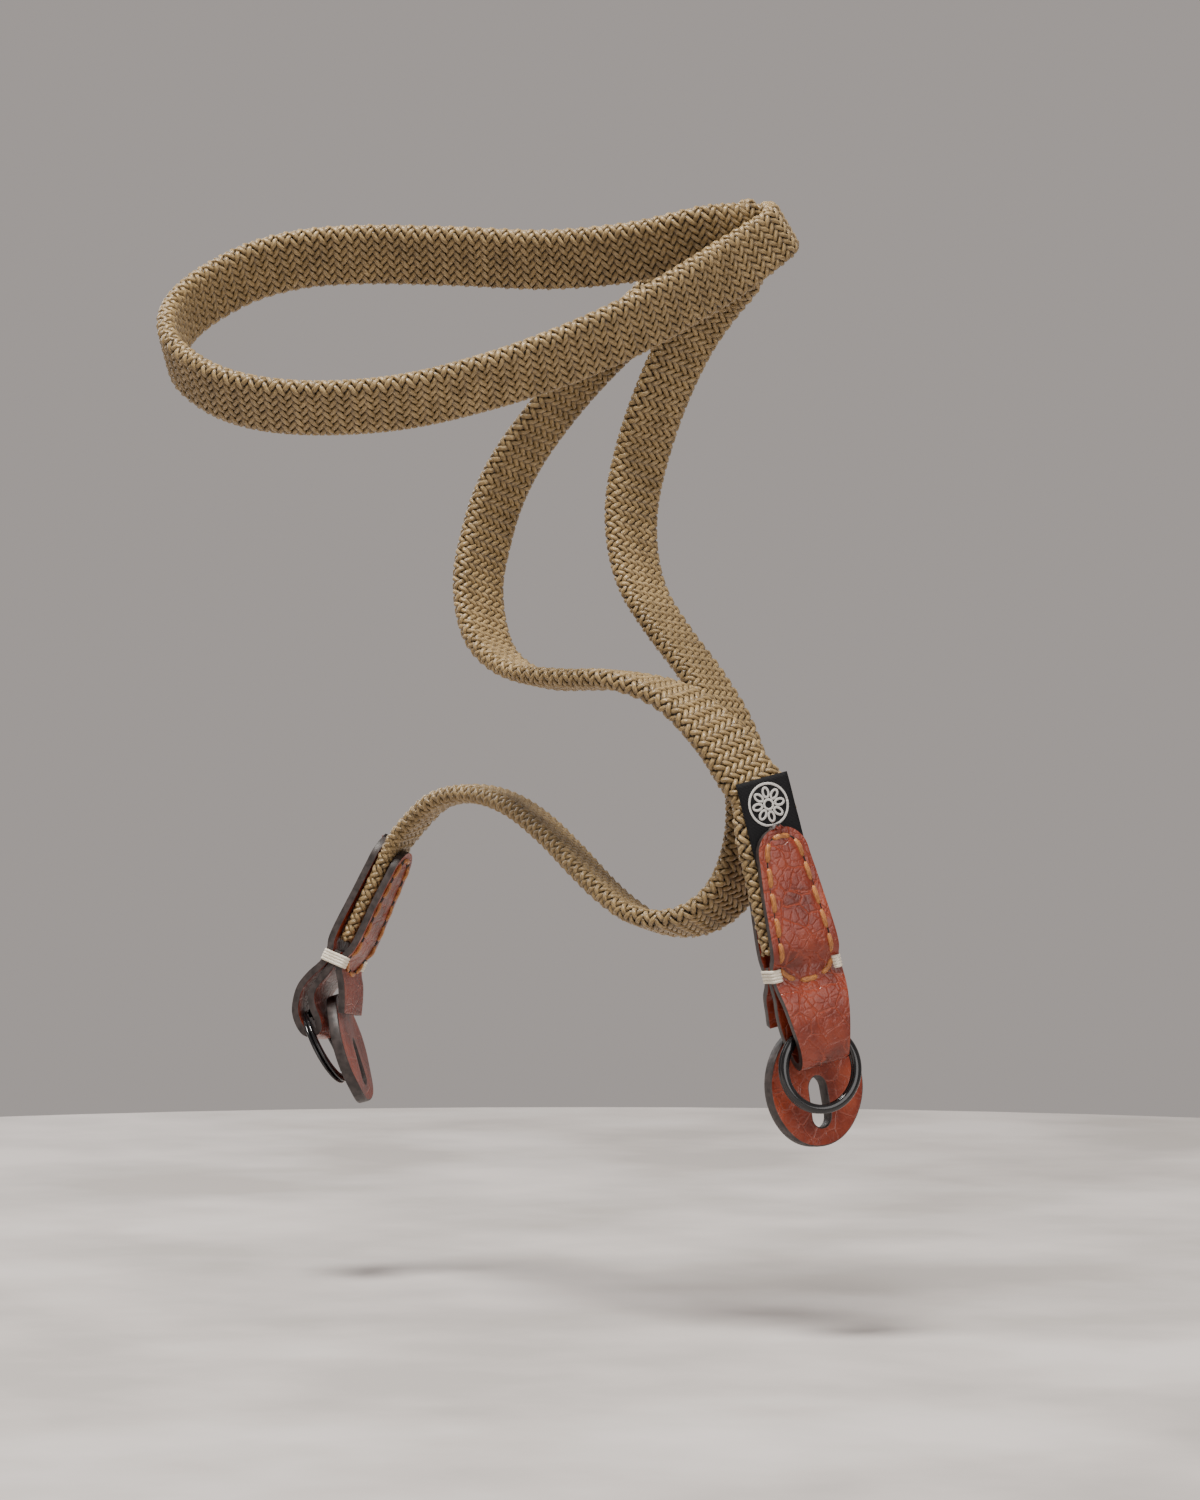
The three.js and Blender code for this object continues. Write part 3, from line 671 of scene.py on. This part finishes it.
def bindings(fitting, end):
    """Cream whipping round each side edge: four turns of flat thread laid side by side."""
    turns, corner, looseness, slant = 4, 0.7, 0.15, 0.12
    edge_x, deep = binding_width / 2 + looseness, bound_half + looseness
    reach = binding_width / 2 - binding_reach
    half = [(reach - 0.1, -deep + 0.5), (reach + 0.6, -deep),
            (edge_x - corner, -deep), (edge_x, -deep + corner)]
    shape = [*half, (edge_x, 0), *((x, -y) for x, y in reversed(half))]
    line, along = spline([(x, y, 0) for x, y in shape], np.linspace(0, len(shape) - 1, 49))
    place = seat(fitting, "tab")
    rotation = np.array(display @ place)[:3, :3]
    for side, word in ((-1, "left"), (1, "right")):
        paths, uppers = [], []
        for turn in range(turns):
            height = binding_height + (turn - (turns - 1) / 2) * binding_tall / turns + slant * line[:, 1] / deep
            out = np.stack([side * along[:, 1], -along[:, 0], 0 * along[:, 0]], 1)
            paths.append(to_row(place, np.stack([side * line[:, 0], line[:, 1], height], 1)))
            uppers.append(out @ rotation.T)
        vertices, faces, uvs = tubes(paths, uppers, 0.37 * metre, 0.3 * metre, 10)
        piece("%s_whipping_%s" % (end, word), vertices, faces, [binding_yarn], uvs,
              stands_for=("%s_binding_%s" % (end, word),))


def split_ring(fitting, end):
    """Two turns of flattened wire, side by side, with the step between them opposite the ends."""
    place, swing = fitting["ring"]
    matrix = seat(fitting, "tab") @ Matrix.Translation(place) @ Matrix.Rotation(math.radians(swing), 4, "X")
    end_gap, start_angle, half_step, step_length = 0.35, 0.6, 0.5, 0.5
    turns = np.linspace(0, 4 * math.pi - end_gap, 180)
    sine, cosine = np.sin(turns + start_angle), np.cos(turns + start_angle)
    radius = (ring_diameter - ring_wire) / 2
    step = half_step * np.tanh((turns - 2 * math.pi) / step_length)
    points = to_row(matrix, np.stack([radius * sine, step, radius * cosine], 1))
    outward = np.array(display @ matrix)[:3, :3] @ np.stack([sine, 0 * turns, cosine])
    vertices, faces, uvs = tubes([points], [outward.T], 0.49 * metre, 0.95 * metre, 14)
    piece(end + "_split_ring", vertices, faces, [ring_black], uvs, stands_for=(end + "_ring",))


def protector(fitting, end):
    """Round leather disc with its slot, a little dished and worn at the rim."""
    steps, rings, dish_depth = 96, 12, 0.25
    angle = np.arange(steps) * 2 * math.pi / steps
    sine, cosine = np.sin(angle), np.cos(angle)
    bend = slot_width / 2
    straight = np.where(sine >= 0, 1, -1) * (slot_length / 2 - bend)
    inner = np.stack([bend * cosine, bend * sine + straight - slot_below_centre], 1)
    outer = np.stack([cosine, sine], 1) * disc_diameter / 2
    share = np.linspace(0, 1, rings)[:, None, None]
    flat = inner[None] * (1 - share) + outer[None] * share
    dish = dish_depth * np.sin(flat[..., 0] * 0.35 + 0.6) * np.cos(flat[..., 1] * 0.22)
    points = to_row(seat(fitting, "disc"), np.stack([flat[..., 0], dish, flat[..., 1]], -1).reshape(-1, 3))
    faces = ring_quads(rings, steps)[:, ::-1].tolist()
    made = piece(end + "_protector", points, faces, [red_leather, edge_paint],
                 stands_for=(end + "_disc",))
    finish_sheet(made, disc_wall)


def leather_end(end, fitting):
    """Everything at one end of the strap but its label."""
    front_layer = -(back_layer + (label_thickness + clearance if fitting["labelled"] else 0))
    front = [*leg_rows(front_layer, -bound_step, tip_height), *in_loop(fitting["loop"]),
             (0, binding_height - seat_gap), (0, inner_leg_top)]
    strip(end + "_front_leather", fitting, front, tip_height, (end + "_tab",), front_puff)
    top = tip_height - backing_tip_lower
    rear = [*leg_rows(back_layer, bound_step, top), *in_loop(fitting["flap"]),
            (fitting["flap_end"] * loop_drop, binding_height - flap_drop)]
    strip(end + "_rear_leather", fitting, rear, top, (end + "_backing",))
    sewn(end + "_front", fitting, front, -1, tip_height, front_puff)
    sewn(end + "_rear", fitting, rear, 1, top)
    bindings(fitting, end)
    split_ring(fitting, end)
    protector(fitting, end)


leather_end("near", near)
leather_end("far", far)


# The woven label, with a plain eight-petal rosette in a ring
label_tall = label_top - label_bottom
label_layer = -(sewn_band + label_thickness) / 2 - clearance
petals, petal_start, petal_length, petal_half_width = 8, 1.5, 2.0, 0.62
rosette_below_top, rosette_rings = 5.6, (4.3, 1.0)


def ribbon(turned):
    """The black ribbon, a little wavy along its height."""
    columns, rows = 13, 34
    across, up = np.meshgrid(np.linspace(-label_width / 2, label_width / 2, columns),
                             np.linspace(-label_tall / 2, label_tall / 2, rows))
    across, up = across.ravel(), up.ravel()
    points = to_row(turned, np.stack([across, 0.04 * np.sin(up * 0.8), up], 1))
    made = piece("near_woven_label", points, grid_quads(rows, columns), [label_weave],
                 np.stack([across, up], 1), ("near_label",))
    thick = made.modifiers.new("wall", "SOLIDIFY")
    thick.thickness, thick.offset = label_thickness * metre, 0


def rosette(turned):
    """The ornament's outlines in pale thread, just in front of the ribbon."""
    outlines = []
    for radius in rosette_rings:
        angle = np.linspace(0, 2 * math.pi, 73)
        outlines.append((radius * np.cos(angle), radius * np.sin(angle)))
    angle = np.linspace(0, math.pi, 25)
    out = petal_start + petal_length / 2 * (1 - np.cos(angle))
    for petal in range(petals):
        cosine, sine = math.cos(petal * 2 * math.pi / petals), math.sin(petal * 2 * math.pi / petals)
        for hand in (1, -1):
            wide = petal_half_width * np.sin(angle) * hand
            outlines.append((out * cosine - wide * sine, out * sine + wide * cosine))
    front, centre = -label_thickness / 2 - 0.05, label_tall / 2 - rosette_below_top
    upper = -np.array(display @ turned)[:3, 1]
    paths = [to_row(turned, np.stack([x, 0 * x + front, z + centre], 1)) for x, z in outlines]
    uppers = [np.tile(upper, (len(path), 1)) for path in paths]
    vertices, faces, uvs = tubes(paths, uppers, 0.26 * metre, 0.06 * metre, 8)
    piece("near_label_rosette", vertices, faces, [label_white], uvs)


label_place = (seat(near, "tab") @ Matrix.Translation((0, label_layer, label_bottom + label_tall / 2))
               @ Matrix.Rotation(math.radians(label_lean), 4, "Y") @ Matrix.Translation((label_aside, 0, 0)))
ribbon(label_place)
rosette(label_place)

# Floor, lights and viewpoint, in metres
floor_radius, floor_height, aim_height = 0.5, -0.0484, 0.09
scene = bpy.context.scene
bm = bmesh.new()
bmesh.ops.create_circle(bm, cap_ends=True, segments=96, radius=floor_radius)
bmesh.ops.translate(bm, vec=(0, 0, floor_height), verts=bm.verts)
floor_mesh = bpy.data.meshes.new("floor")
bm.to_mesh(floor_mesh)
bm.free()
floor = bpy.data.objects.new("floor", floor_mesh)
scene.collection.objects.link(floor)
pale_floor = plain_material("pale_floor", (0.40, 0.37, 0.35), (0.58, 0.54, 0.52), 0.9, 14, 0.0004)
floor_mesh.materials.append(pale_floor)

world = bpy.data.worlds.new("studio")
scene.world = world
world.use_nodes = True
world.node_tree.nodes["Background"].inputs["Color"].default_value = (0.46, 0.42, 0.40, 1)
world.node_tree.nodes["Background"].inputs["Strength"].default_value = 0.85


def light(name, place, size, power, colour=(1, 1, 1)):
    """A round soft light at a place in the turned view, aimed at the strap's middle."""
    data = bpy.data.lights.new(name, "AREA")
    data.shape, data.size, data.energy, data.color = "DISK", size, power, colour
    made = bpy.data.objects.new(name, data)
    made.location = display @ Vector(place)
    made.rotation_euler = (-(made.location - Vector((0, 0, aim_height)))).to_track_quat("-Z", "Y").to_euler()
    scene.collection.objects.link(made)


light("key", (-0.15, -0.25, 0.95), 0.3, 17, (1, 0.97, 0.92))
light("front_fill", (0.6, -0.9, 0.35), 0.8, 4.5, (1, 0.97, 0.94))
light("back_rim", (-0.5, 0.6, 0.5), 0.6, 3)

camera_data = bpy.data.cameras.new("camera")
camera_data.sensor_width, camera_data.lens, camera_data.shift_y = 36, 111.6, -0.03
camera_data.clip_start, camera_data.clip_end = 0.05, 30
camera = bpy.data.objects.new("camera", camera_data)
camera.location = display @ Vector((0.0048, -0.9975, 0.0811))
camera.rotation_euler = (math.pi / 2, 0, math.radians(display_turn))
scene.collection.objects.link(camera)
scene.camera = camera
